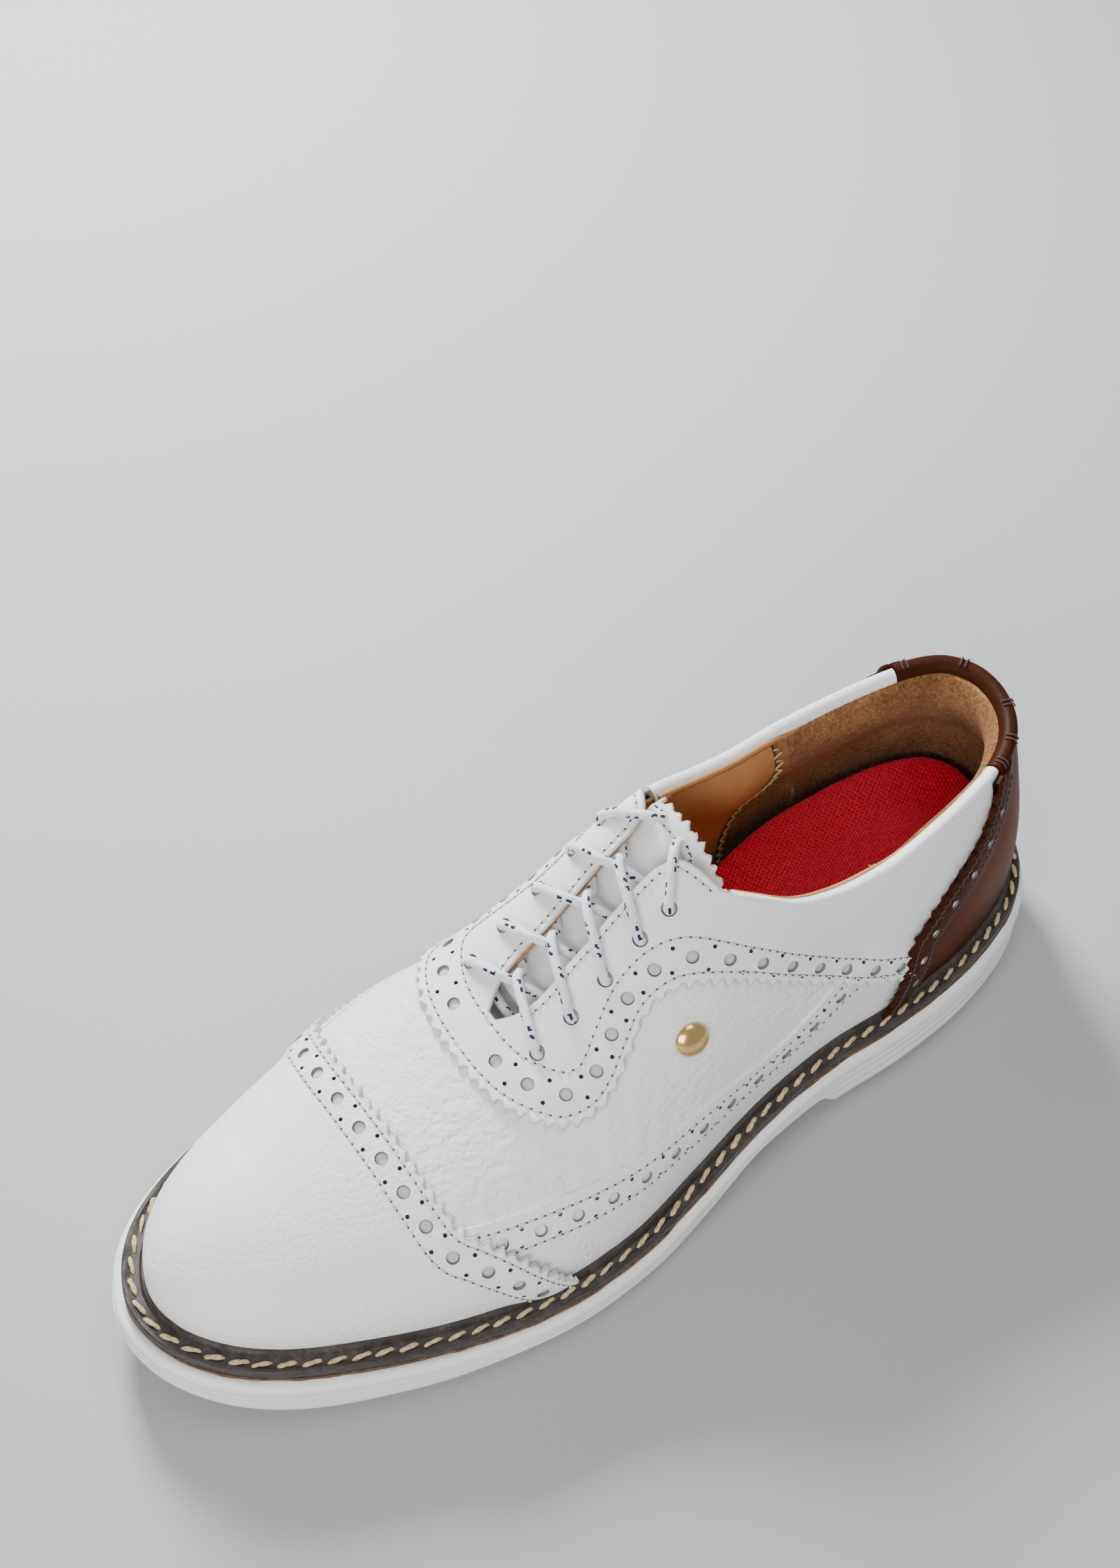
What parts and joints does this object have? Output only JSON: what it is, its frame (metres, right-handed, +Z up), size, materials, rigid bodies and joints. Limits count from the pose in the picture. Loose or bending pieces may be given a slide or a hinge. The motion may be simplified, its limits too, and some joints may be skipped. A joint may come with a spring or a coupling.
{
  "type": "golf shoe",
  "caption": "Left brogue oxford golf shoe with a stitched welt, lace-up throat, padded collar, brown heel counter and a one-piece white spikeless sole.",
  "frame": {"origin": "centre of the bounding box in plan, at ground level under the lugs", "axes": "+Z up, +Y from toe to heel, +X towards the lateral side of this left shoe"},
  "size_m": [0.111, 0.3036, 0.112],
  "materials": {
    "white_leather": "fine pebbled grain, semi-matte",
    "white_rubber": "matte moulded rubber",
    "brown_leather": "burnished, semi-gloss",
    "tan_leather": "smooth, matte",
    "suede": "napped",
    "red_fabric": "fine knit, matte",
    "dark_welt": "waxed edge",
    "cream_thread": "waxed thread",
    "lace": "round braid with navy flecks",
    "cork": "granular",
    "steel": "brushed",
    "brass": "polished",
    "grey_foam": "open-cell foam",
    "board": "fibre board"
  },
  "bodies": {
    "shoe": {"outsole": "white_rubber", "midsole": "white_rubber", "midsole_runner": "brown_leather", "welt": "dark_welt", "welt_thread": "cream_thread", "cork_filler": "cork", "shank": "steel", "lasting_board": "board", "toe_cap": "white_leather", "vamp": "white_leather", "throat_facing": "white_leather", "foxing_lateral": "white_leather", "foxing_medial": "white_leather", "back_counter": "brown_leather", "heel_tab": "brown_leather", "vamp_lining": "tan_leather", "lining_lateral": "tan_leather", "lining_medial": "tan_leather", "heel_lining": "suede", "collar_foam": "grey_foam", "toe_puff": "board", "heel_stiffener": "board", "lace": "lace", "stud": "brass", "stud_washer": "steel"},
    "tongue": {"tongue": "white_leather", "tongue_foam": "grey_foam", "tongue_lining": "tan_leather"},
    "footbed": {"footbed_foam": "grey_foam", "footbed_cover": "red_fabric"}
  },
  "joints": [
    {"name": "tongue_hinge", "type": "hinge", "parent": "shoe", "child": "tongue", "pos_m": [-0.00756, -0.02665, 0.06091], "axis": [1, 0, 0], "range_deg": [-16, 0]},
    {"name": "footbed_lift", "type": "hinge", "parent": "shoe", "child": "footbed", "pos_m": [-0.00185, -0.1335, 0.02543], "axis": [1, 0, 0], "range_deg": [0, 1.2]}
  ]
}
